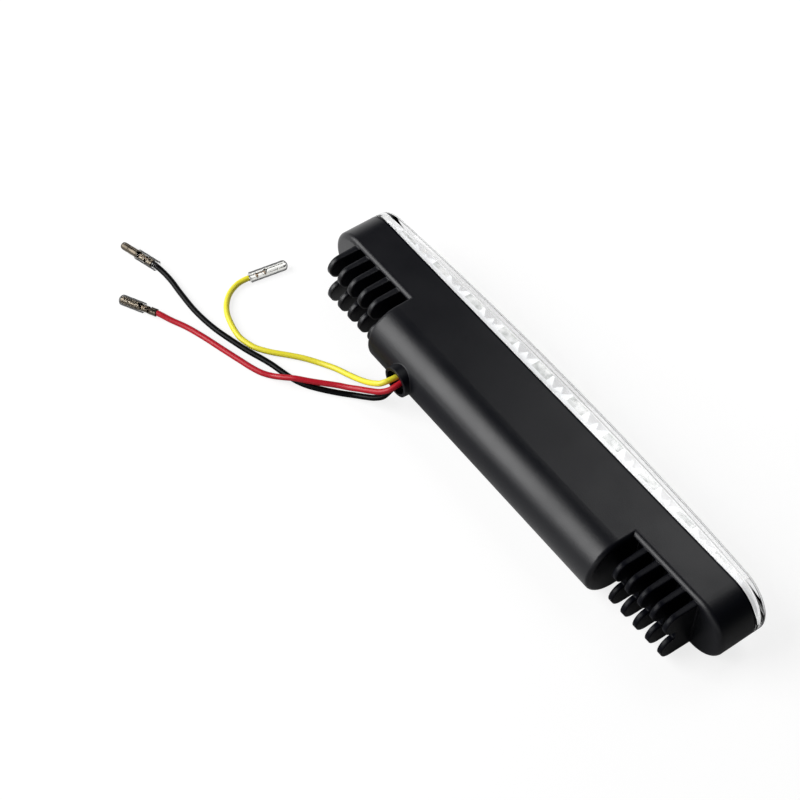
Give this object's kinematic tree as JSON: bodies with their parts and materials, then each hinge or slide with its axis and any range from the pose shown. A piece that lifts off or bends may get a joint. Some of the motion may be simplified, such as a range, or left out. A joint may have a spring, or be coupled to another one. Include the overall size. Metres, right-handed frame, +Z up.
{
  "type": "daytime running light",
  "caption": "Slim stadium-shaped LED daytime running light with a turn signal, clear bowed lens, finned black housing and loose bullet-ended wires.",
  "frame": {"origin": "on the ground under the middle of the lamp's body, wires left out", "axes": "+X along the lamp towards the end the cable outlet is nearer to, -Y the way the lens faces, +Y the back with the hump, fins and wires, +Z up"},
  "size_m": [0.2344, 0.0875, 0.0223],
  "materials": {
    "housing": "satin",
    "lens": "clear moulded plastic",
    "seal": "matte",
    "reflector": "metallised plastic",
    "screw": "plated",
    "led_board": "solder mask",
    "driver_board": "solder mask",
    "component_black": "moulded",
    "capacitor": "sleeved can",
    "resistor": "lacquered",
    "pin": "plated",
    "grommet": "matte",
    "yellow_wire": "soft insulation",
    "red_wire": "soft insulation",
    "black_wire": "soft insulation",
    "terminal": "tinned",
    "sleeve": "clear soft plastic",
    "white_led": "clear epoxy",
    "amber_led": "tinted epoxy"
  },
  "bodies": {
    "root": {"rear_housing": "housing", "lens_cover": "lens", "lens_seal": "seal", "reflector": "reflector", "left_reflector_screw": "screw", "right_reflector_screw": "screw", "led_board": "led_board", "driver_board": "driver_board", "regulator": "component_black", "input_capacitor": "capacitor", "supply_diode": "component_black", "turn_diode": "component_black", "white_resistor": "resistor", "amber_resistor": "resistor", "white_link_pin": "pin", "amber_link_pin": "pin", "ground_link_pin": "pin", "cable_grommet": "grommet", "yellow_inner_lead": "yellow_wire", "red_inner_lead": "red_wire", "black_inner_lead": "black_wire", "yellow_wire": "yellow_wire", "red_wire": "red_wire", "black_wire": "black_wire", "yellow_terminal": "terminal", "red_terminal": "terminal", "black_terminal": "terminal", "yellow_sleeve": "sleeve", "red_sleeve": "sleeve", "black_sleeve": "sleeve", "white_led_1": "white_led", "white_led_2": "white_led", "white_led_3": "white_led", "white_led_4": "white_led", "white_led_5": "white_led", "white_led_6": "white_led", "white_led_7": "white_led", "white_led_8": "white_led", "white_led_9": "white_led", "white_led_10": "white_led", "amber_led_1": "amber_led", "amber_led_2": "amber_led", "amber_led_3": "amber_led", "amber_led_4": "amber_led", "amber_led_5": "amber_led", "amber_led_6": "amber_led", "amber_led_7": "amber_led", "amber_led_8": "amber_led", "amber_led_9": "amber_led", "amber_led_10": "amber_led"}
  },
  "joints": []
}
